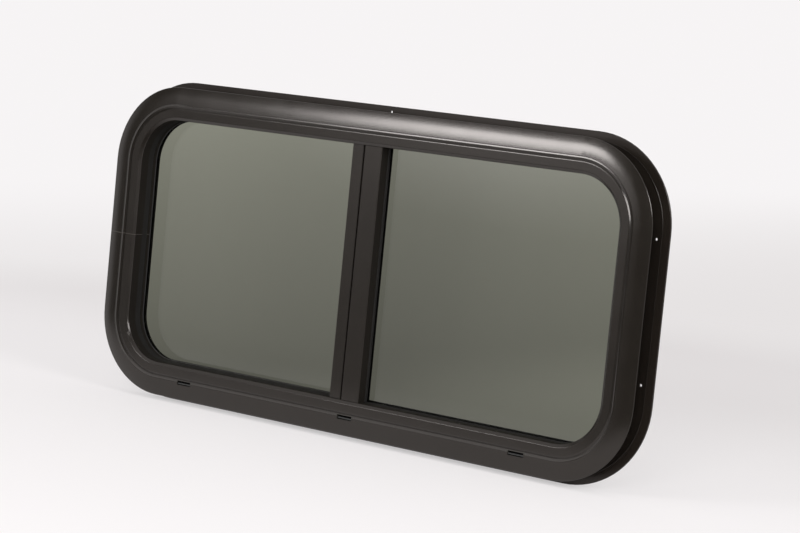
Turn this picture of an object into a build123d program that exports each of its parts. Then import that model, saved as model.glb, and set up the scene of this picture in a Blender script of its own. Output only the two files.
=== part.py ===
from build123d import *
from collections import namedtuple
import os

os.makedirs("parts", exist_ok=True)

# Sliding caravan window, seen from outside with X to the right, Z up and +Y into the caravan.
# Millimetres. The origin lies on the flat back of the outer flange, in the middle of the bottom run.

# Loop that every bent section follows: the inner edge of the outer bead
loop_width = 700.0
loop_height = 323.2
loop_radius = 71.0

# Outer frame section: reaches go outward and insets inward from the loop,
# and rises stand out from the flange's back
flange_reach = 21.2
flange_edge = 1.1
flange_edge_chamfer = 0.4
bead_crest_reach = 0.9
bead_crest_rise = 5.0
bead_bulge = 0.7
quirk_reach = 0.1
quirk_rise = 4.5
ridge_inset = 1.2
ridge_rise = 4.72
valley_inset = 3.9
valley_rise = 3.2
band_inset = 5.8
band_rise = 3.8
lip_width = 3.6
lip_inset = 18.0
lip_rise = 1.3
lip_crest_radius = 1.0
lip_edge_chamfer = 0.5
neck_reach = 4.0
channel_inset = 6.0
fixed_channel_front = 11.0
fixed_channel_width = 9.0
slide_channel_front = 24.0
slide_channel_width = 7.4
back_wall = 1.8
frame_seam_rise = 2.0
frame_seam_gap = 0.2

# Frame joint plate, riveted outside the neck across the seam
joint_plate_length = 60.0
joint_plate_width = 15.0
joint_plate_thickness = 1.5
joint_plate_front = 4.0
joint_plate_corner = 3.0

# Clamp ring inside the caravan
ring_reach = 27.4
ring_rim_inner = 17.4
ring_rim_front = 26.1
ring_relief = 2.5
ring_wall = 2.0
ring_leg_length = 2.2
ring_edge_chamfer = 0.4
ring_clearance = 0.3
ring_seam_x = 7.0
ring_seam_gap = 0.2
ring_notch_width = 3.0
ring_notch_reach = 22.2
ring_hole_radius = 1.5
ring_hole_reach = 9.8
ring_hole_pitch = 154.0
ring_side_hole_rise = 7.2
ring_plate_length = 50.0
ring_plate_width = 12.5
ring_plate_thickness = 1.5
ring_plate_corner = 3.0

# Glass and its seals
glass_thickness = 4.0
fixed_glass_front = 14.6
sliding_glass_front = 25.7
glass_inset = 8.1
glass_rim_clearance = 0.3
gasket_lip_inset = 18.7
gasket_clearance = 0.2
gasket_lip_bevel = 0.6
run_lip_inset = 18.6
run_side_clearance = 0.4

# Mullion, a hollow bar with a cover strip to its left and the fixed pane's channel to its right
mullion_right = 19.2
mullion_face_left = -4.6
mullion_groove_width = 3.0
mullion_groove_depth = 4.5
mullion_strip_left = -22.8
mullion_strip_step = 2.0
mullion_wall = 2.0
mullion_body_left = -10.6
mullion_back = 21.6
mullion_channel_floor = 9.0
mullion_end_gap = 0.15
mullion_edge_radius = 0.8
gasket_mullion_lip = 1.0

# Sliding sash: meeting stile, pile seal and latch
stile_left = -16.0
stile_right = 10.0
stile_wall = 2.0
stile_glass_edge = 6.5
stile_end_clearance = 1.0
stile_edge_radius = 0.6
pull_rib_length = 6.0
pull_rib_radius = 0.9
pile_left = -4.0
pile_base_width = 6.0
pile_base_depth = 0.8
pile_root_width = 4.4
pile_tip_width = 3.0
pile_gap = 0.2
latch_length = 46.0
latch_width = 16.0
latch_depth = 7.0
latch_corner = 5.0
latch_edge_chamfer = 1.2
latch_pocket_depth = 4.0
lever_length = 26.0
lever_width = 8.0
lever_toe = 3.2
lever_tip = 9.0
lever_scoop = 1.6
lever_tip_width = 3.0
lever_clearance = 0.3

# Weep slots along the bottom run
weep_positions = {"left": -233.3, "middle": 4.7, "right": 235.5}
weep_length = 20.0
weep_low = 3.2
weep_high = 1.6
weep_depth = 8.0
weep_blade = 1.4
weep_blade_low = 2.2
weep_blade_setback = 1.0
weep_clearance = 0.2

# Places worked out from the sizes above
half_width = loop_width / 2
half_height = loop_height / 2
centre_z = half_height + (flange_reach + neck_reach) / 2
straight_x = half_width - loop_radius
straight_z = half_height - loop_radius
fixed_channel_back = fixed_channel_front + fixed_channel_width
slide_channel_back = slide_channel_front + slide_channel_width
frame_back = slide_channel_back + back_wall
mullion_face = -lip_rise
mullion_strip_face = mullion_face + mullion_strip_step
mullion_length = loop_height - 2 * lip_inset - 2 * mullion_end_gap
stile_front = sliding_glass_front - stile_wall
stile_back = sliding_glass_front + glass_thickness + stile_wall
stile_length = loop_height - 2 * run_lip_inset - 2 * stile_end_clearance

# The loop as four straight runs, each followed by the corner it turns into
Run = namedtuple("Run", "start end length corner")


def straight_run(x, z, inward, travel, length, corner_x, corner_z):
    start = Plane((x, 0, centre_z + z), x_dir=inward, z_dir=travel)
    axis = Axis((corner_x, 0, centre_z + corner_z), (0, 1, 0))
    return Run(start, start.offset(length), length, axis)


runs = [
    straight_run(
        straight_x, -half_height, (0, 0, 1), (-1, 0, 0), 2 * straight_x, -straight_x, -straight_z
    ),
    straight_run(
        -half_width, -straight_z, (1, 0, 0), (0, 0, 1), 2 * straight_z, -straight_x, straight_z
    ),
    straight_run(
        -straight_x, half_height, (0, 0, -1), (1, 0, 0), 2 * straight_x, straight_x, straight_z
    ),
    straight_run(
        half_width, straight_z, (-1, 0, 0), (0, 0, -1), 2 * straight_z, straight_x, -straight_z
    ),
]


def depth_plane(depth):
    """A plane facing outside, centred on the loop, at this depth behind the flange's back."""
    return Plane((0, depth, centre_z), x_dir=(1, 0, 0), z_dir=(0, -1, 0))


def loop_outline(inset):
    """The loop drawn this far inside the bead's inner edge."""
    RectangleRounded(loop_width - 2 * inset, loop_height - 2 * inset, loop_radius - inset)


def pane_outline(inset, cut_x, side):
    """The loop at an inset, kept only on one side of an upright cut: side 1 is right, -1 is left."""
    loop_outline(inset)
    with Locations((cut_x - side * loop_width, 0)):
        Rectangle(2 * loop_width, 2 * loop_height, mode=Mode.SUBTRACT)


# Outer frame: one extrusion bent round the loop, with its ends butted on the left run
with BuildSketch() as frame_section:
    with BuildLine():
        edge = (-flange_reach, -flange_edge)
        crest = (-bead_crest_reach, -bead_crest_rise)
        quirk = (-quirk_reach, -quirk_rise)
        ridge = (ridge_inset, -ridge_rise)
        valley = (valley_inset, -valley_rise)
        band_start = (band_inset, -band_rise)
        lip_crest = (lip_inset - lip_width, -band_rise)
        lip_edge = (lip_inset, -lip_rise)
        Line((-flange_reach, 0), edge)
        SagittaArc(edge, crest, -bead_bulge)
        Polyline(crest, quirk, ridge, valley)
        TangentArc(band_start, valley, tangent=(-1, 0))
        Polyline(
            band_start,
            lip_crest,
            lip_edge,
            (lip_inset, fixed_channel_front),
            (channel_inset, fixed_channel_front),
            (channel_inset, fixed_channel_back),
            (lip_inset, fixed_channel_back),
            (lip_inset, slide_channel_front),
            (channel_inset, slide_channel_front),
            (channel_inset, slide_channel_back),
            (lip_inset, slide_channel_back),
            (lip_inset, frame_back),
            (-neck_reach, frame_back),
            (-neck_reach, 0),
            (-flange_reach, 0),
        )
    make_face()
    chamfer(frame_section.vertices().sort_by_distance(edge)[0], flange_edge_chamfer)
    fillet(frame_section.vertices().sort_by_distance(lip_crest)[0], lip_crest_radius)
    chamfer(frame_section.vertices().sort_by_distance(lip_edge)[0], lip_edge_chamfer)

with BuildPart() as outer_frame:
    for run in runs:
        with BuildSketch(run.start):
            add(frame_section.sketch)
        extrude(amount=run.length)
        with BuildSketch(run.end):
            add(frame_section.sketch)
        revolve(axis=run.corner, revolution_arc=90)
    with Locations((-half_width, 0, centre_z + frame_seam_rise)):
        Box(4 * flange_reach, 4 * frame_back, frame_seam_gap, mode=Mode.SUBTRACT)
    for weep_x in weep_positions.values():
        with BuildSketch(depth_plane(weep_depth)):
            with Locations((weep_x, -half_height + (weep_high - weep_low) / 2)):
                Rectangle(weep_length, weep_low + weep_high)
        extrude(amount=weep_depth + 2 * bead_crest_rise, mode=Mode.SUBTRACT)
outer_frame.part.label = "outer_frame"
export_step(outer_frame.part, "parts/outer_frame.step")

# Frame joint plate: a flat strap on the neck behind the seam
with BuildPart() as frame_joint_plate:
    with BuildSketch(Plane.YZ.offset(-half_width - neck_reach)):
        with Locations((joint_plate_front + joint_plate_width / 2, centre_z + frame_seam_rise)):
            RectangleRounded(joint_plate_width, joint_plate_length, joint_plate_corner)
    extrude(amount=-joint_plate_thickness)
frame_joint_plate.part.label = "frame_joint_plate"
export_step(frame_joint_plate.part, "parts/frame_joint_plate.step")

# Weep covers: a blade across each slot that keeps wind-driven water out
for weep_name, weep_x in weep_positions.items():
    with BuildPart() as weep_cover:
        with BuildSketch(depth_plane(weep_depth)):
            with Locations((weep_x, -half_height - weep_blade_low + weep_blade / 2)):
                Rectangle(weep_length - 2 * weep_clearance, weep_blade)
        extrude(amount=weep_depth + bead_crest_rise - weep_blade_setback)
    weep_cover.part.label = f"weep_cover_{weep_name}"
    export_step(weep_cover.part, f"parts/weep_cover_{weep_name}.step")

# Clamp ring: a stepped flange that grips the wall's inside, with a leg along the frame's neck
ring_leg_inner = neck_reach + ring_clearance
ring_face = ring_rim_front + ring_relief
ring_back = ring_face + ring_wall + ring_leg_length
with BuildSketch() as ring_section:
    with BuildLine():
        Polyline(
            (-ring_reach, ring_rim_front),
            (-ring_rim_inner, ring_rim_front),
            (-ring_rim_inner, ring_face),
            (-ring_leg_inner, ring_face),
            (-ring_leg_inner, ring_back),
            (-ring_leg_inner - ring_wall, ring_back),
            (-ring_leg_inner - ring_wall, ring_face + ring_wall),
            (-ring_rim_inner - ring_wall, ring_face + ring_wall),
            (-ring_rim_inner - ring_wall, ring_rim_front + ring_wall),
            (-ring_reach, ring_rim_front + ring_wall),
            close=True,
        )
    make_face()
    for rim_edge in (-ring_reach, -ring_rim_inner):
        rim_corner = (rim_edge, ring_rim_front)
        chamfer(ring_section.vertices().sort_by_distance(rim_corner)[0], ring_edge_chamfer)

hole_x = half_width + ring_hole_reach
hole_z = half_height + ring_hole_reach
half_pitch = ring_hole_pitch / 2
ring_holes = [
    (side * hole_x, ring_side_hole_rise + step * half_pitch) for side in (-1, 1) for step in (-1, 1)
]
ring_holes += [(step * half_pitch, side * hole_z) for side in (-1, 1) for step in (-3, -1, 1, 3)]

with BuildPart() as clamp_ring:
    for run in runs:
        with BuildSketch(run.start):
            add(ring_section.sketch)
        extrude(amount=run.length)
        with BuildSketch(run.end):
            add(ring_section.sketch)
        revolve(axis=run.corner, revolution_arc=90)
    with BuildSketch(depth_plane(ring_back)):
        with Locations((ring_seam_x, half_height + ring_reach)):
            Rectangle(ring_seam_gap, 2 * ring_reach)
        with Locations((ring_seam_x, half_height + ring_notch_reach / 2)):
            Rectangle(ring_notch_width, ring_notch_reach)
    extrude(amount=ring_back - ring_rim_front, mode=Mode.SUBTRACT)
    with BuildSketch(depth_plane(ring_face)):
        with Locations(*ring_holes):
            Circle(ring_hole_radius)
    extrude(amount=-ring_wall, mode=Mode.SUBTRACT)
clamp_ring.part.label = "clamp_ring"
export_step(clamp_ring.part, "parts/clamp_ring.step")

# Ring joint plate: lies in the ring's inner channel and bridges its butted ends
with BuildPart() as ring_joint_plate:
    plate_z = half_height + (ring_leg_inner + ring_rim_inner + 2 * ring_wall) / 2
    with BuildSketch(depth_plane(ring_face + ring_wall)):
        with Locations((ring_seam_x, plate_z)):
            RectangleRounded(ring_plate_length, ring_plate_width, ring_plate_corner)
    extrude(amount=-ring_plate_thickness)
ring_joint_plate.part.label = "ring_joint_plate"
export_step(ring_joint_plate.part, "parts/ring_joint_plate.step")

# Mullion: an upright extrusion between the frame's inner walls
with BuildPart() as mullion:
    with BuildSketch(Plane.XY.offset(centre_z - mullion_length / 2)) as mullion_section:
        groove_left = mullion_face_left - mullion_groove_width
        groove_floor = mullion_face + mullion_groove_depth
        strip_back = mullion_strip_face + mullion_wall
        with BuildLine():
            Polyline(
                (mullion_face_left, mullion_face),
                (mullion_right, mullion_face),
                (mullion_right, fixed_channel_front),
                (mullion_channel_floor, fixed_channel_front),
                (mullion_channel_floor, fixed_channel_back),
                (mullion_right, fixed_channel_back),
                (mullion_right, mullion_back),
                (mullion_body_left, mullion_back),
                (mullion_body_left, strip_back),
                (mullion_strip_left, strip_back),
                (mullion_strip_left, mullion_strip_face),
                (groove_left, mullion_strip_face),
                (groove_left, groove_floor),
                (mullion_face_left, groove_floor),
                close=True,
            )
        make_face()
        hollow_left = mullion_body_left + mullion_wall
        hollow_right = mullion_channel_floor - mullion_wall
        hollow_front = groove_floor + mullion_wall
        hollow_back = mullion_back - mullion_wall
        with Locations(((hollow_left + hollow_right) / 2, (hollow_front + hollow_back) / 2)):
            Rectangle(hollow_right - hollow_left, hollow_back - hollow_front, mode=Mode.SUBTRACT)
        for rounded in (
            (mullion_face_left, mullion_face),
            (mullion_right, mullion_face),
            (mullion_strip_left, mullion_strip_face),
            (groove_left, mullion_strip_face),
        ):
            fillet(mullion_section.vertices().sort_by_distance(rounded)[0], mullion_edge_radius)
    extrude(amount=mullion_length)
mullion.part.label = "mullion"
export_step(mullion.part, "parts/mullion.step")

# Fixed pane and the rubber gasket that holds it in the frame and the mullion
gasket_left = mullion_channel_floor + gasket_clearance
fixed_glass_left = gasket_left + glass_inset - channel_inset
gasket_depth = fixed_channel_width - gasket_clearance
with BuildPart() as fixed_glass:
    with BuildSketch(depth_plane(fixed_glass_front)):
        pane_outline(glass_inset, fixed_glass_left, 1)
    extrude(amount=-glass_thickness)
fixed_glass.part.label = "fixed_glass"
export_step(fixed_glass.part, "parts/fixed_glass.step")

with BuildPart() as glazing_gasket:
    with BuildSketch(depth_plane(fixed_channel_front)):
        pane_outline(channel_inset + gasket_clearance, gasket_left, 1)
        with BuildSketch(mode=Mode.SUBTRACT):
            pane_outline(gasket_lip_inset, mullion_right + gasket_mullion_lip, 1)
    extrude(amount=-gasket_depth)
    with BuildSketch(depth_plane(fixed_glass_front)):
        pane_outline(glass_inset - glass_rim_clearance, fixed_glass_left - glass_rim_clearance, 1)
    extrude(amount=-glass_thickness, mode=Mode.SUBTRACT)
    lip_front = glazing_gasket.faces().sort_by(Axis.Y)[0]
    chamfer(lip_front.inner_wires()[0].edges(), gasket_lip_bevel)
glazing_gasket.part.label = "glazing_gasket"
export_step(glazing_gasket.part, "parts/glazing_gasket.step")

# Channel infill: a rubber strip that closes the fixed pane's channel round the sliding half
with BuildPart() as channel_infill:
    with BuildSketch(depth_plane(fixed_channel_front)):
        pane_outline(channel_inset + gasket_clearance, gasket_left - gasket_clearance, -1)
        with BuildSketch(mode=Mode.SUBTRACT):
            loop_outline(lip_inset)
    extrude(amount=-gasket_depth)
channel_infill.part.label = "channel_infill"
export_step(channel_infill.part, "parts/channel_infill.step")

# Sliding pane and the flocked run channel that lines its track all round the frame
with BuildPart() as sliding_glass:
    with BuildSketch(depth_plane(sliding_glass_front)):
        pane_outline(glass_inset, stile_glass_edge, -1)
    extrude(amount=-glass_thickness)
sliding_glass.part.label = "sliding_glass"
export_step(sliding_glass.part, "parts/sliding_glass.step")

with BuildPart() as run_channel:
    with BuildSketch(depth_plane(slide_channel_front)):
        loop_outline(channel_inset + gasket_clearance)
        with BuildSketch(mode=Mode.SUBTRACT):
            loop_outline(run_lip_inset)
    extrude(amount=-(slide_channel_width - gasket_clearance))
    with BuildSketch(depth_plane(sliding_glass_front - run_side_clearance)):
        loop_outline(glass_inset - glass_rim_clearance)
    extrude(amount=-(glass_thickness + 2 * run_side_clearance), mode=Mode.SUBTRACT)
run_channel.part.label = "run_channel"
export_step(run_channel.part, "parts/run_channel.step")

# Meeting stile: a channel bonded on the sliding pane's inner edge, with a rib to pull it by
with BuildPart() as meeting_stile:
    with BuildSketch(Plane.XY.offset(centre_z - stile_length / 2)) as stile_section:
        glass_back = sliding_glass_front + glass_thickness
        pocket_end = stile_glass_edge + glass_rim_clearance
        rib_back = stile_back + pull_rib_length
        with BuildLine():
            Polyline(
                (stile_left, stile_front),
                (stile_right, stile_front),
                (stile_right, stile_back),
                (stile_left + stile_wall, stile_back),
                (stile_left + stile_wall, rib_back),
                (stile_left, rib_back),
                (stile_left, glass_back),
                (pocket_end, glass_back),
                (pocket_end, sliding_glass_front),
                (stile_left, sliding_glass_front),
                close=True,
            )
        make_face()
        for rib_corner in ((stile_left, rib_back), (stile_left + stile_wall, rib_back)):
            fillet(stile_section.vertices().sort_by_distance(rib_corner)[0], pull_rib_radius)
        for stile_corner in ((stile_right, stile_front), (stile_right, stile_back)):
            fillet(stile_section.vertices().sort_by_distance(stile_corner)[0], stile_edge_radius)
    extrude(amount=stile_length)
meeting_stile.part.label = "meeting_stile"
export_step(meeting_stile.part, "parts/meeting_stile.step")

# Pile seal: a brush strip on the mullion's back, a flat base with tapering pile that wipes the meeting stile
with BuildPart() as pile_seal:
    pile_x = pile_left + pile_base_width / 2
    pile_root = mullion_back + pile_base_depth
    pile_tip = stile_front - pile_gap
    with BuildSketch(Plane.XY.offset(centre_z - stile_length / 2)):
        with Locations((pile_x, mullion_back + pile_base_depth / 2)):
            Rectangle(pile_base_width, pile_base_depth)
        with BuildLine():
            Polyline(
                (pile_x - pile_root_width / 2, pile_root),
                (pile_x + pile_root_width / 2, pile_root),
                (pile_x + pile_tip_width / 2, pile_tip),
                (pile_x - pile_tip_width / 2, pile_tip),
                close=True,
            )
        make_face()
    extrude(amount=stile_length)
pile_seal.part.label = "pile_seal"
export_step(pile_seal.part, "parts/pile_seal.step")

# Latch on the stile's inside: a moulded body with a pocket, and the thumb lever that lies in it
latch_x = (stile_left + stile_wall + stile_right) / 2
latch_top = stile_back + latch_depth
pocket_floor = latch_top - latch_pocket_depth
with BuildPart() as latch_body:
    with BuildSketch(depth_plane(stile_back)):
        with Locations((latch_x, 0)):
            RectangleRounded(latch_width, latch_length, latch_corner)
    extrude(amount=-latch_depth)
    chamfer(latch_body.faces().sort_by(Axis.Y)[-1].outer_wire().edges(), latch_edge_chamfer)
    with BuildSketch(depth_plane(pocket_floor)):
        with Locations((latch_x, 0)):
            Rectangle(lever_width + 2 * lever_clearance, lever_length + 2 * lever_clearance)
    extrude(amount=-latch_pocket_depth, mode=Mode.SUBTRACT)
latch_body.part.label = "latch_body"
export_step(latch_body.part, "parts/latch_body.step")

with BuildPart() as latch_lever:
    with BuildSketch(Plane.YZ.offset(latch_x - lever_width / 2)):
        lever_low = centre_z - lever_length / 2
        lever_high = centre_z + lever_length / 2
        toe = (pocket_floor + lever_toe, lever_low)
        scoop_end = (pocket_floor + lever_tip, lever_high - lever_tip_width)
        with BuildLine():
            SagittaArc(toe, scoop_end, lever_scoop)
            Polyline(
                scoop_end,
                (pocket_floor + lever_tip, lever_high),
                (pocket_floor, lever_high),
                (pocket_floor, lever_low),
                toe,
            )
        make_face()
    extrude(amount=lever_width)
latch_lever.part.label = "latch_lever"
export_step(latch_lever.part, "parts/latch_lever.step")
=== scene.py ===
from math import cos, pi, radians, sin

import bpy
from mathutils import Matrix, Vector


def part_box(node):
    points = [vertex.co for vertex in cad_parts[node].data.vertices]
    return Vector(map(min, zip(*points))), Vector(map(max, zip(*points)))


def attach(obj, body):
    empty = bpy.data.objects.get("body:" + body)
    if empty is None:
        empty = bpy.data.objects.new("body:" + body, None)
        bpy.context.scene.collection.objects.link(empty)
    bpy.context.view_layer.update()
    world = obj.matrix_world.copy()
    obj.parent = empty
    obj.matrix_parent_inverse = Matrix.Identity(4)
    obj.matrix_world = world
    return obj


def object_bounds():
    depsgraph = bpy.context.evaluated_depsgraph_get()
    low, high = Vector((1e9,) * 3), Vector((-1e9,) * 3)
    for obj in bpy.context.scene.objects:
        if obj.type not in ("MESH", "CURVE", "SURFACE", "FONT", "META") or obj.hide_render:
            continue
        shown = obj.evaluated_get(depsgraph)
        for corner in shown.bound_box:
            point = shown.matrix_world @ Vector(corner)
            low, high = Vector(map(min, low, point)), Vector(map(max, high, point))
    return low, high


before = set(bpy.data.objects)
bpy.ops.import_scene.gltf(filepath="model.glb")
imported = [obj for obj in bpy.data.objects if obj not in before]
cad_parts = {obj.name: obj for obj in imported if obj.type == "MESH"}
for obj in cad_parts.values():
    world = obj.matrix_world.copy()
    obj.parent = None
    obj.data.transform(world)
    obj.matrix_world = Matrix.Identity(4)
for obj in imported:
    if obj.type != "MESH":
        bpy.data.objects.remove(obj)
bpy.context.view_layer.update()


# Outer frame: an aluminium extrusion roll-bent round the opening and butted half-way up the left side, where
# a line of grey sealer shows. Its satin black powder coat has a fine orange peel and a cloudy gloss, rounds
# the narrow edges, and has a painted highlight, a paler line, on the ridge beside the bead at the left end
# and along the bottom.
class Tone:
    """A socket in a finish: sums with it add Math nodes, and node() adds any other node."""

    def __init__(self, socket):
        self.socket = socket

    def node(self, kind, settings, inputs, output=0):
        tree = self.socket.id_data
        made = tree.nodes.new(kind)
        for name, value in settings.items():
            setattr(made, name, value)
        for name, value in inputs.items():
            if isinstance(value, Tone):
                tree.links.new(value.socket, made.inputs[name])
            else:
                made.inputs[name].default_value = value
        return Tone(made.outputs[output])

    def sum(self, operation, first, second):
        return self.node("ShaderNodeMath", {"operation": operation}, {0: first, 1: second})

    def __add__(self, other):
        return self.sum("ADD", self, other)

    __radd__ = __add__

    def __sub__(self, other):
        return self.sum("SUBTRACT", self, other)

    def __rsub__(self, other):
        return self.sum("SUBTRACT", other, self)

    def __mul__(self, other):
        return self.sum("MULTIPLY", self, other)

    __rmul__ = __mul__

    def unsigned(self):
        return self.sum("ABSOLUTE", self, 0)

    def greater(self, other):
        """The greater of two tones."""
        return self.sum("MAXIMUM", self, other)

    def below(self, limit):
        """One where this tone is under a limit, else 0."""
        return self.sum("LESS_THAN", self, limit)

    def above(self, limit):
        """One where this tone is over a limit, else 0."""
        return self.sum("GREATER_THAN", self, limit)

    def near(self, middle, reach):
        """One where this tone lies this close to a middle value, else 0."""
        return self.node("ShaderNodeMath", {"operation": "COMPARE"}, {0: self, 1: middle, 2: reach})

    def rise(self, start, end, bend="SMOOTHSTEP"):
        """From 0 to 1 as this tone goes from start to end."""
        ends = {"Value": self, "From Min": start, "From Max": end}
        return self.node("ShaderNodeMapRange", {"interpolation_type": bend}, ends)

    def along(self, axis):
        """One of these coordinates."""
        return self.node("ShaderNodeSeparateXYZ", {}, {0: self}, output="xyz".index(axis))

    def length(self):
        """How long this vector is."""
        return self.node("ShaderNodeVectorMath", {"operation": "LENGTH"}, {0: self}, output=1)

    def unit(self):
        """This vector, made one metre long."""
        return self.node("ShaderNodeVectorMath", {"operation": "NORMALIZE"}, {0: self})

    def stretched(self, x, y, z):
        """These coordinates, longer along the axes that are given a small factor."""
        return self.node("ShaderNodeMapping", {}, {"Vector": self, "Scale": (x, y, z)})

    def noise(self, size, detail=2.0):
        """Soft mottling with patches of about this many metres."""
        return self.node("ShaderNodeTexNoise", {}, {"Vector": self, "Scale": 1 / size, "Detail": detail})

    def between(self, dark, light):
        """A colour from dark to light by this tone. Each is three numbers or another tone."""
        dark, light = (end if isinstance(end, Tone) else (*end, 1) for end in (dark, light))
        inputs = {"Factor": self, 6: dark, 7: light}
        return self.node("ShaderNodeMix", {"data_type": "RGBA"}, inputs, output=2)

    def layered(self, under, over):
        """A shader from one to the other by this tone."""
        return self.node("ShaderNodeMixShader", {}, {0: self, 1: under, 2: over})

    def grain(self, depth, strength, **over):
        """A surface whose height follows this tone, this many metres deep."""
        heights = {"Height": self, "Distance": depth, "Strength": strength}
        return self.node("ShaderNodeBump", {}, {**heights, **over})


def new_finish(name, **fixed):
    """A material, its shader with these fixed values, and its Object coordinates."""
    finish = bpy.data.materials.new(name)
    finish.use_nodes = True
    nodes = finish.node_tree.nodes
    shader = nodes["Principled BSDF"]
    for socket, value in fixed.items():
        shader.inputs[socket.replace("_", " ")].default_value = value
    return finish, shader, Tone(nodes.new("ShaderNodeTexCoord").outputs["Object"])


def feed(shader, **tones):
    """Link tones to a shader's sockets."""
    for socket, tone in tones.items():
        shader.id_data.links.new(tone.socket, shader.inputs[socket.replace("_", " ")])


def surface(tree, skin):
    """Make a shader what a material shows."""
    tree.links.new(skin.socket, tree.nodes["Material Output"].inputs["Surface"])


def coat(finish, *nodes):
    """Put a finish on pieces of the frame."""
    for node in nodes:
        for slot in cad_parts[node].material_slots:
            slot.material = finish


def normals(place):
    """The way that faces look, beside the coordinates of the same finish."""
    return Tone(place.socket.node.outputs["Normal"])


def dull_sides(finish, shader, place, colour):
    """Keep the finish on faces that look forward or back, and make the sides dull, where the coat is thin."""
    dull_turn, glossy_turn = 0.05, 0.35
    forward = normals(place).along("y").unsigned()
    thin = {"Base Color": colour, "Roughness": 0.8, "Specular IOR Level": 0.15}
    dull = place.node("ShaderNodeBsdfPrincipled", {}, thin)
    glossy = forward.rise(dull_turn, glossy_turn, "LINEAR")
    surface(finish.node_tree, glossy.layered(dull, Tone(shader.outputs[0])))


flange_radius = 0.0922
frame_low, frame_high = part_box("outer_frame")
frame_middle = (frame_low.z + frame_high.z) / 2
corner_across = (frame_high.x - frame_low.x) / 2 - flange_radius
corner_up = (frame_high.z - frame_low.z) / 2 - flange_radius


def past(tone, length):
    """How far a tone goes beyond plus or minus this length, with its sign."""
    return tone.sum("SIGN", tone, 0) * (tone.unsigned() - length).greater(0)


def on_edge(place, edge):
    """One on a narrow front edge between two distances from the corners' centres, and the way outward."""
    up = place.along("z") - frame_middle
    corners = {0: past(place.along("x"), corner_across), 2: past(up, corner_up)}
    away = place.node("ShaderNodeCombineXYZ", {}, corners)
    reach = away.length()
    inside = reach.above(edge["inner"]) * reach.below(edge["outer"]) * normals(place).along("y").below(0)
    return inside, away.unit()


def rounded(place, *edges):
    """Normals with a set slope outward on these edges."""
    normal = normals(place)
    for edge in edges:
        inside, outward = on_edge(place, edge)
        lean = {0: outward, 1: (edge["slope"],) * 3, 2: (0, -1, 0)}
        lean = outward.node("ShaderNodeVectorMath", {"operation": "MULTIPLY_ADD"}, lean)
        turned = {"Factor": inside * edge.get("where", 1), 4: normal, 5: lean}
        normal = normal.node("ShaderNodeMix", {"data_type": "VECTOR"}, turned, output=1)
    return normal.unit()


black_low = (0.0078, 0.0062, 0.0046)
black_high = (0.0108, 0.0088, 0.0067)
warm_shine = (1.0, 0.945, 0.915, 1)
cloud_size = 0.035
cloud_detail = 4
peel_size = 0.0011
peel_depth = 0.0001
peel_strength = 0.16
black_coat, shader, place = new_finish("satin_black_coat", IOR=1.5, Specular_Tint=warm_shine)
across = place.along("x")
up = place.along("z") - frame_middle

left_starts, left_full = -0.23, -0.30
left_lean_end = -0.145
lip_middle, lip_reach = -0.0875, 0.0275
left_end = across.rise(left_starts, left_full)
left_ridge = {"inner": 0.0698, "outer": 0.0719, "slope": 0.27}
left_ridge["where"] = left_end * up.above(left_lean_end)
band_shoulder = {"inner": 0.0661, "outer": 0.0680, "slope": 0.49}
low_left_lip = {"inner": 0.0543, "outer": 0.0590, "slope": 0.0}
low_left_lip["where"] = across.below(left_full) * up.near(lip_middle, lip_reach)

# Painted highlight: a paler colour on the ridge beside the bead, at the left end and along the bottom.
painted_highlight = (0.040, 0.0375, 0.035)
low_ridge = {"inner": 0.0684, "outer": 0.0711}
low_starts, low_full = -0.135, -0.155
low_highlight_share = 0.62
low_run = up.rise(low_starts, low_full)
left_painted_highlight = on_edge(place, left_ridge)[0] * left_end * (1 - low_run)
low_painted_highlight = low_highlight_share * on_edge(place, low_ridge)[0] * low_run

sealer = (0.060, 0.054, 0.048)
sealer_width = 0.0007
seam_rise = 0.002
seam = up.near(seam_rise, sealer_width / 2) * across.below(0)

cloud = place.noise(cloud_size, cloud_detail)
colour = cloud.between(black_low, black_high)
# The painted highlight is laid over the coat's colour.
colour = left_painted_highlight.greater(low_painted_highlight).between(colour, painted_highlight)
colour = seam.between(colour, sealer)
edges = rounded(place, left_ridge, band_shoulder, low_left_lip)
feed(
    shader,
    Base_Color=colour,
    Roughness=0.15 + 0.06 * cloud,
    Normal=place.noise(peel_size).grain(peel_depth, peel_strength, Normal=edges),
)
dull_sides(black_coat, shader, place, colour)
coat(black_coat, "outer_frame")


# Frame joint plate: a strap cut from mill-finish aluminium strip, laid across the butt on the frame's neck.
# Two blind rivets on each side of the butt hold it, their heads drawn down on the strap.
def brushed_aluminium(name, lines_axis):
    """Mill-finish aluminium with drawing lines that run along one axis."""
    pale, bright = (0.58, 0.58, 0.57), (0.76, 0.76, 0.75)
    patch_size = 0.02
    line_width, line_depth = 0.0006, 0.00005
    line_stretch = 0.03
    finish, shader, place = new_finish(name, Metallic=1.0)
    stretch = (line_stretch if axis == lines_axis else 1 for axis in "xyz")
    lines = place.stretched(*stretch).noise(line_width, 3)
    feed(
        shader,
        Base_Color=place.noise(patch_size, 3).between(pale, bright),
        Roughness=0.28 + 0.25 * lines,
        Normal=lines.grain(line_depth, 0.3),
    )
    return finish


coat(brushed_aluminium("strap_aluminium", "z"), "frame_joint_plate")


def pick(piece, wanted):
    """Select the faces of a piece in edit mode by their centre and normal."""
    bpy.ops.object.mode_set(mode="EDIT")
    bpy.ops.mesh.select_mode(type="FACE")
    bpy.ops.mesh.select_all(action="DESELECT")
    bpy.ops.object.mode_set(mode="OBJECT")
    for face in piece.data.polygons:
        face.select = wanted(face.center, face.normal)
    bpy.ops.object.mode_set(mode="EDIT")


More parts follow.
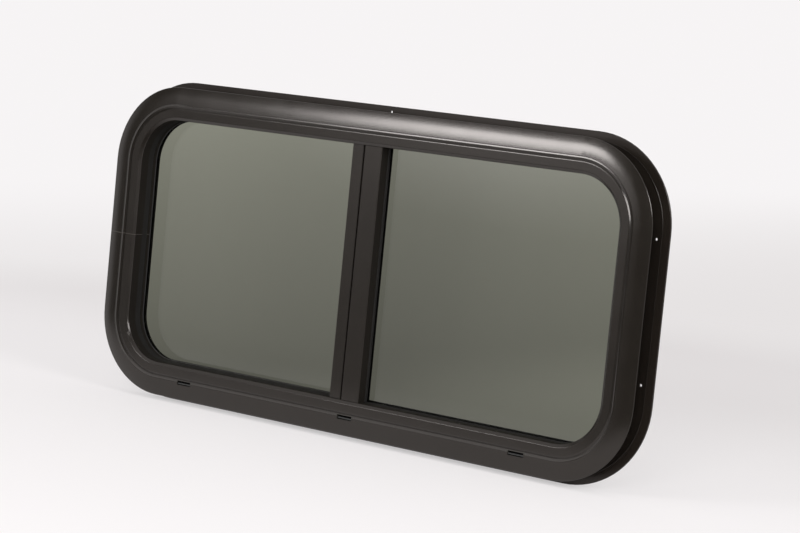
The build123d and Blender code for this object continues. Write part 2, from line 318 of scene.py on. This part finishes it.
def round_head(name, radius, height, **edge):
    """A disc standing on Z = 0 with a bevel round its top, left in object mode."""
    bpy.ops.object.select_all(action="DESELECT")
    middle = (0, 0, height / 2)
    bpy.ops.mesh.primitive_cylinder_add(vertices=32, radius=radius, depth=height, location=middle)
    head = bpy.context.object
    head.name = name
    bpy.ops.object.transform_apply(location=True)
    pick(head, lambda centre, normal: normal.z > 0.9)
    bpy.ops.mesh.bevel(affect="EDGES", **edge)
    bpy.ops.object.mode_set(mode="OBJECT")
    return head


smooth_angle = radians(35)


def blind_rivet(name, radius, height, stem_radius, stem_depth):
    """A domed head standing on Z = 0 with the hollow that the broken stem leaves."""
    collar = radius * 0.3
    hollow_edge = max(radius * 0.28 - stem_radius, radius * 0.06)
    rivet = round_head(name, radius, height, offset=height * 0.85, segments=5, profile=0.6)
    pick(rivet, lambda centre, normal: normal.z > 0.99 and centre.z > height * 0.9)
    bpy.ops.mesh.inset(thickness=collar)
    bpy.ops.mesh.inset(thickness=hollow_edge)
    bpy.ops.mesh.extrude_region_move(TRANSFORM_OT_translate={"value": (0, 0, -stem_depth)})
    bpy.ops.object.mode_set(mode="OBJECT")
    bpy.ops.object.shade_smooth_by_angle(angle=smooth_angle)
    return rivet


def set_out(model, name, places, turn):
    """Copies of a model, turned and set at these places, joined as one piece at the origin."""
    copies = []
    for spot in places:
        copy = model.copy()
        copy.data = model.data.copy()
        bpy.context.collection.objects.link(copy)
        copy.matrix_world = Matrix.Translation(spot) @ turn
        copies.append(copy)
    bpy.ops.object.select_all(action="DESELECT")
    for copy in copies:
        copy.select_set(True)
    bpy.context.view_layer.objects.active = copies[0]
    bpy.ops.object.join()
    piece = bpy.context.object
    piece.name = name
    bpy.ops.object.transform_apply(location=True, rotation=True, scale=True)
    bpy.data.objects.remove(model)
    return piece


strap_low, strap_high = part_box("frame_joint_plate")
strap_y = (strap_low.y + strap_high.y) / 2
strap_z = (strap_low.z + strap_high.z) / 2
rivet_steps = (-0.023, -0.009, 0.009, 0.023)
frame_rivets = set_out(
    blind_rivet("frame_rivet", radius=0.0026, height=0.0011, stem_radius=0.0006, stem_depth=0.0006),
    "frame_joint_rivets",
    [Vector((strap_low.x, strap_y, strap_z + step)) for step in rivet_steps],
    Matrix.Rotation(-pi / 2, 4, "Y"),
)
rivet_dull = (0.55, 0.55, 0.54)
rivet_bright = (0.72, 0.72, 0.71)
scuff_size = 0.0008
rivet_aluminium, shader, place = new_finish("rivet_aluminium", Metallic=1.0)
scuff = place.noise(scuff_size, 3)
feed(shader, Base_Color=scuff.between(rivet_dull, rivet_bright), Roughness=0.25 + 0.3 * scuff)
frame_rivets.data.materials.append(rivet_aluminium)
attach(frame_rivets, "root")


# Weep covers: small injection-moulded blades pushed into the three drain slots of the bottom run.
# Black plastic with the dull, finely sparked face of a mould.
plastic_dark = (0.012, 0.012, 0.012)
plastic_light = (0.020, 0.020, 0.020)
flow_size = 0.006
spark_size = 0.0005
spark_depth = 0.00008
moulded_black, shader, place = new_finish("moulded_black", IOR=1.47)
spark = place.noise(spark_size, 3)
feed(
    shader,
    Base_Color=place.noise(flow_size, 3).between(plastic_dark, plastic_light),
    Roughness=0.42 + 0.16 * spark,
    Normal=spark.grain(spark_depth, 0.4),
)
coat(moulded_black, "weep_cover_left", "weep_cover_middle", "weep_cover_right")


# Mullion: a straight hollow extrusion with a cover strip, coated with the frame's satin black.
# Faint die lines run up its face under the coat.
die_line_width = 0.0012
die_line_stretch = 0.01
upright_coat, shader, place = new_finish("upright_black_coat", IOR=1.5, Specular_Tint=warm_shine)
cloud = place.noise(cloud_size, cloud_detail)
die_lines = place.stretched(1, 1, die_line_stretch).noise(die_line_width, 3)
colour = cloud.between(black_low, black_high)
feed(
    shader,
    Base_Color=colour,
    Roughness=0.14 + 0.05 * cloud + 0.03 * die_lines,
    Normal=(place.noise(peel_size) + 0.5 * die_lines).grain(peel_depth, peel_strength),
)
dull_sides(upright_coat, shader, place, colour)
coat(upright_coat, "mullion")


# Glazing gasket: an extruded black rubber channel pressed in round the fixed pane.
# It is matt, with a slight bloom and the waviness of soft rubber. The infill that closes the same channel
# round the sliding half is cut from the same rubber.
rubber_dark = (0.008, 0.0075, 0.007)
rubber_bloom = (0.016, 0.0155, 0.0145)
bloom_size = 0.012
wave_size = 0.0015
wave_depth = 0.0002
gasket_rubber, shader, place = new_finish("gasket_rubber", IOR=1.35, Specular_IOR_Level=0.3)
bloom = place.noise(bloom_size, 4)
feed(
    shader,
    Base_Color=bloom.between(rubber_dark, rubber_bloom),
    Roughness=0.7 + 0.2 * bloom,
    Normal=place.noise(wave_size, 3).grain(wave_depth, 0.25),
)
coat(gasket_rubber, "glazing_gasket", "channel_infill")


# Panes: two sheets of 4 mm toughened glass with a grey-green tint, cut to the frame's round corners.
# The fixed one sits in the gasket, the sliding one in the run channel. Wiping leaves a faint film. The tint
# holds painted light and shade: each pane is made paler toward its outer end, the sliding one paler overall.
tint_low = (0.180, 0.186, 0.151)
tint_high = (0.254, 0.263, 0.213)
inner_end = 0.02
outer_end = 0.33
sliding_least, sliding_gain = 0.45, 0.55
fixed_gain = 0.5
film_size = 0.09
film_stretch = 0.4
film_share = 0.2
tinted_glass, shader, place = new_finish("tinted_glass", IOR=1.5, Transmission_Weight=1.0)
film = place.stretched(1, 1, film_stretch).noise(film_size, 4)
across = place.along("x")
# Painted light and shade: the tint is made paler toward each pane's outer end, and the sliding pane paler
# overall.
sliding_painted_light = sliding_least * across.below(0) + sliding_gain * across.rise(-inner_end, -outer_end)
fixed_painted_light = fixed_gain * across.rise(inner_end, outer_end)
painted_light_and_film = sliding_painted_light.greater(fixed_painted_light) + film_share * (film - 0.5)
feed(shader, Base_Color=painted_light_and_film.between(tint_low, tint_high), Roughness=0.012 * film)
coat(tinted_glass, "fixed_glass", "sliding_glass")


# Run channel: a rubber channel that lines the sliding pane's track, flocked so that the glass slips.
# The flock is a velvet of short black fibres that takes no shine.
flock_dark = (0.010, 0.0095, 0.009)
flock_light = (0.024, 0.023, 0.022)
fibre_size = 0.0004
fibre_depth = 0.0003
flock_sheen = {"Sheen_Weight": 0.1, "Sheen_Roughness": 0.5}
flocked_rubber, shader, place = new_finish("flocked_rubber", IOR=1.4, **flock_sheen)
fibres = place.noise(fibre_size, 4)
feed(
    shader,
    Base_Color=fibres.between(flock_dark, flock_light),
    Roughness=0.85 + 0.1 * fibres,
    Normal=fibres.grain(fibre_depth, 0.6),
)
coat(flocked_rubber, "run_channel")


# Meeting stile: an extruded aluminium channel bonded to the sliding pane's inner edge.
# It has the mullion's coat.
coat(upright_coat, "meeting_stile")


# Pile seal: a strip of upright grey fibres on a woven backing, which wipes the stile and keeps draughts out.
# The fibres stand in rows of tufts.
pile_dark = (0.05, 0.05, 0.05)
pile_light = (0.20, 0.20, 0.20)
tuft_size = 0.0007
tuft_stretch = 0.15
tuft_depth = 0.0005
pile_grey, shader, place = new_finish("pile_grey", IOR=1.4, Sheen_Weight=0.3, Sheen_Roughness=0.5)
tufts = place.stretched(1, tuft_stretch, 1).noise(tuft_size, 4)
feed(
    shader,
    Base_Color=tufts.between(pile_dark, pile_light),
    Roughness=0.85 + 0.1 * tufts,
    Normal=tufts.grain(tuft_depth, 0.8),
)
coat(pile_grey, "pile_seal")


# Latch: a moulded body on the stile's inside with a thumb lever in its pocket.
# Two small cross-head screws of blackened steel fix the body, one at each end.
coat(moulded_black, "latch_body", "latch_lever")


def cross_head(name, radius, height, slot_width, slot_depth):
    """A pan head standing on Z = 0 with a cross recess in its top."""
    head = round_head(name, radius, height, offset=height * 0.6, segments=4)
    bpy.ops.object.select_all(action="DESELECT")
    bpy.ops.mesh.primitive_cube_add(size=slot_width, location=(0, 0, height))
    recess = bpy.context.object
    bpy.ops.object.transform_apply(location=True)
    arm_length = radius * 0.6 - slot_width / 2
    for way in (Vector((1, 0, 0)), Vector((-1, 0, 0)), Vector((0, 1, 0)), Vector((0, -1, 0))):
        pick(recess, lambda centre, normal: normal.dot(way) > 0.9 and centre.dot(way) < slot_width)
        bpy.ops.mesh.extrude_region_move(TRANSFORM_OT_translate={"value": way * arm_length})
    pick(recess, lambda centre, normal: normal.z < -0.9)
    bpy.ops.transform.translate(value=(0, 0, slot_width / 2 - slot_depth))
    bpy.ops.object.mode_set(mode="OBJECT")
    cut = head.modifiers.new("recess", "BOOLEAN")
    cut.object = recess
    bpy.context.view_layer.objects.active = head
    bpy.ops.object.modifier_apply(modifier=cut.name)
    bpy.data.objects.remove(recess)
    bpy.ops.object.select_all(action="DESELECT")
    head.select_set(True)
    bpy.ops.object.shade_smooth_by_angle(angle=smooth_angle)
    return head


screw_step = 0.0175
latch_low, latch_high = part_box("latch_body")
latch_x = (latch_low.x + latch_high.x) / 2
latch_z = (latch_low.z + latch_high.z) / 2
latch_screws = set_out(
    cross_head("latch_head", radius=0.0026, height=0.0012, slot_width=0.0007, slot_depth=0.0008),
    "latch_screws",
    [Vector((latch_x, latch_high.y, latch_z + step)) for step in (-screw_step, screw_step)],
    Matrix.Rotation(-pi / 2, 4, "X"),
)
steel_dark = (0.06, 0.06, 0.062)
steel_light = (0.13, 0.13, 0.13)
steel_scuff_size = 0.0007
screw_steel, shader, place = new_finish("blackened_steel", Metallic=1.0)
scuff = place.noise(steel_scuff_size, 3)
feed(shader, Base_Color=scuff.between(steel_dark, steel_light), Roughness=0.3 + 0.25 * scuff)
latch_screws.data.materials.append(screw_steel)
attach(latch_screws, "root")


# Clamp ring: an aluminium flange bent to the same loop, which screws pull against the wall from inside.
# Its black coat is thinner and duller than the frame's, as nobody sees it once it is fitted.
ring_low = (0.0105, 0.0082, 0.0064)
ring_high = (0.0160, 0.0128, 0.0102)
ring_peel_strength = 0.25
rim_edge = {"inner": 0.0880, "outer": 0.0890, "slope": 0.49}
ring_coat, shader, place = new_finish("dull_black_coat", IOR=1.36, Specular_Tint=warm_shine)
cloud = place.noise(cloud_size, cloud_detail)
edges = rounded(place, rim_edge)
feed(
    shader,
    Base_Color=cloud.between(ring_low, ring_high),
    Roughness=0.2 + 0.1 * cloud,
    Normal=place.noise(peel_size).grain(peel_depth, ring_peel_strength, Normal=edges),
)
coat(ring_coat, "clamp_ring")


# Ring joint plate: a strap of mill-finish strip that lies in the ring's channel behind its butted ends.
# Blind rivets hold it to each end, with their heads on the inside.
coat(brushed_aluminium("ring_strap_aluminium", "x"), "ring_joint_plate")
strap_low, strap_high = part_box("ring_joint_plate")
strap_x = (strap_low.x + strap_high.x) / 2
strap_z = (strap_low.z + strap_high.z) / 2
rivet_steps = (-0.019, -0.008, 0.008, 0.019)
ring_rivets = set_out(
    blind_rivet("ring_rivet", radius=0.0024, height=0.0009, stem_radius=0.0006, stem_depth=0.0005),
    "ring_joint_rivets",
    [Vector((strap_x + step, strap_high.y, strap_z)) for step in rivet_steps],
    Matrix.Rotation(-pi / 2, 4, "X"),
)
ring_rivets.data.materials.append(rivet_aluminium)
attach(ring_rivets, "root")


# Floor: a pale sheet under the window. Close by it shows the window's shadow, and further off it fades
# into the white sweep behind, over a slightly shaded cove. Through the panes it shows as it lies in the
# window's own shade. In gloss, it ends a short way out and the room shows instead.
backdrop = (0.925, 0.905, 0.91)
floor_colour = (0.87, 0.845, 0.845)
cove_shade = (0.79, 0.765, 0.765)
window_shade = (0.40, 0.388, 0.39)
floor_width = 80
cove_depths, cove_widths = (0.1, 0.9), (-2.9, -0.45)
sweep_distances, least_sweep = (0.7, 1.8), 0.55
shade_depths, shade_bend = (0.3, 5.5), 0.5
right_light, right_light_widths = 0.35, (-0.45, 0)
gloss_depths, gloss_distances = (-0.10, -0.40), (0.5, 1.0)
floor_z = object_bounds()[0][2]
bpy.ops.object.select_all(action="DESELECT")
bpy.ops.mesh.primitive_plane_add(size=floor_width, location=(0, 0, floor_z))
floor = bpy.context.object
floor.name = "floor"
bpy.ops.object.transform_apply(location=True)
floor_white, shader, place = new_finish("floor_white", Base_Color=(*floor_colour, 1), Roughness=0.9)
tree = floor_white.node_tree


def ray(tree, name):
    """One for rays of this kind, else 0."""
    return Tone(tree.nodes.new("ShaderNodeLightPath").outputs[f"Is {name} Ray"])


def unshaded(colour):
    """A shader that shows a colour as it is, whatever light falls on it."""
    return colour.node("ShaderNodeEmission", {}, {"Color": colour, "Strength": 1.0})


distance = place.length()
across = place.along("x")
depth = place.along("y")
through_glass = ray(tree, "Transmission")
mirrored = ray(tree, "Glossy") * (1 - through_glass)
cove = depth.rise(*cove_depths) * across.rise(*cove_widths)
sweep = distance.rise(*sweep_distances).greater(least_sweep) * ray(tree, "Camera").greater(mirrored)
sheet = sweep.layered(Tone(shader.outputs[0]), unshaded(cove.between(backdrop, cove_shade)))
past_window = depth.unsigned().rise(*shade_depths, "LINEAR")
from_right = right_light * across.rise(*right_light_widths)
brightness = past_window.sum("POWER", past_window, shade_bend) + from_right
sheet = through_glass.layered(sheet, unshaded(brightness.between(window_shade, backdrop)))
ended = depth.rise(*gloss_depths).greater(distance.rise(*gloss_distances)) * mirrored
surface(tree, ended.layered(sheet, place.node("ShaderNodeBsdfTransparent", {}, {})))
floor.data.materials.append(floor_white)


# Studio: a white sweep behind the window, which the eye sees everywhere past the floor. In gloss, the room
# in front is dim up to its pale side walls and ceiling, with a glow on the left where the main lamp spills.
# Dull faces are lit mostly from the front, and three softboxes light the bead and the corners.
dim_room = (0.10, 0.10, 0.10)
glow_strength = 4.0
front_fill = 0.78
back_fill = 0.45
right_wall_share = 0.7
glow_fringe = 0.4
least_spill = 0.06
world = bpy.data.worlds.new("studio")
bpy.context.scene.world = world
world.use_nodes = True
tree = world.node_tree
tree.nodes.clear()
facing = Tone(tree.nodes.new("ShaderNodeTexCoord").outputs["Generated"])
across = facing.along("x")
depth = facing.along("y")
height = facing.along("z")


def room_light(colour, strength):
    """Light of one colour from all round."""
    return facing.node("ShaderNodeBackground", {}, {"Color": (*colour, 1), "Strength": strength})


left_wall = across.rise(-0.82, -0.98) * depth.rise(-0.02, -0.2)
right_wall = right_wall_share * across.rise(0.3, 0.6)
behind = depth.rise(0.1, 0.4)
ceiling = height.rise(0.4, 0.75)
pale = behind.greater(ceiling).greater(left_wall.greater(right_wall))
beside = (glow_fringe * across.rise(-0.2, -0.4)).greater(across.rise(-0.47, -0.56))
beside = beside * across.rise(-0.8, -0.68) * height.rise(0.35, 0.2)
spill = beside * (height.rise(-0.09, 0) * across.rise(-0.66, -0.5)).greater(least_spill)
sweep = room_light(backdrop, 1.0)
walls = pale.layered(room_light(dim_room, 1.0), sweep)
room = spill.layered(walls, room_light(backdrop, glow_strength))
fill = depth.rise(-0.3, 0.3).layered(room_light(backdrop, front_fill), room_light(backdrop, back_fill))
lit = ray(tree, "Diffuse").layered(room, fill)
eye = ray(tree, "Camera").greater(ray(tree, "Transmission"))
shown = eye.layered(lit, sweep)
output = tree.nodes.new("ShaderNodeOutputWorld")
tree.links.new(shown.socket, output.inputs["Surface"])

window_middle = 0.174


def softbox(name, azimuth, elevation, distance, width, height, level):
    """A lamp that looks at the window: azimuth is to the right of straight ahead, seen from outside."""
    lamp = bpy.data.lights.new(name, "AREA")
    lamp.shape = "RECTANGLE"
    lamp.size = width
    lamp.size_y = height
    lamp.energy = level * pi * width * height
    aim = Vector((0, 0, window_middle))
    turn, lift = radians(azimuth), radians(elevation)
    out = Vector((sin(turn) * cos(lift), -cos(turn) * cos(lift), sin(lift)))
    stand = bpy.data.objects.new(name, lamp)
    stand.location = aim + distance * out
    stand.rotation_euler = out.to_track_quat("Z", "Y").to_euler()
    bpy.context.collection.objects.link(stand)


softbox("main_softbox", azimuth=-28, elevation=17.9, distance=3.0, width=1.06, height=0.58, level=15)
softbox("corner_softbox", azimuth=28, elevation=17, distance=3.0, width=1.0, height=1.0, level=12)
softbox("right_softbox", azimuth=72, elevation=26, distance=3.0, width=1.0, height=1.0, level=10)


# Camera: stands to the right and a little above the window, rolled a few degrees.
# Its long lens keeps the frame's runs nearly parallel.
camera_place = Vector((1.65085, -2.23488, 0.44657))
camera_aim = Vector((0.0578, 0, 0.1899))
camera_roll = radians(5.576)
camera_data = bpy.data.cameras.new("camera")
camera_data.sensor_width = 36
camera_data.lens = 112.43
camera = bpy.data.objects.new("camera", camera_data)
camera.location = camera_place
camera.rotation_euler = (camera_aim - camera_place).to_track_quat("-Z", "Y").to_euler()
camera.rotation_euler.rotate_axis("Z", camera_roll)
bpy.context.collection.objects.link(camera)
bpy.context.scene.camera = camera
bpy.context.scene.view_settings.view_transform = "Standard"
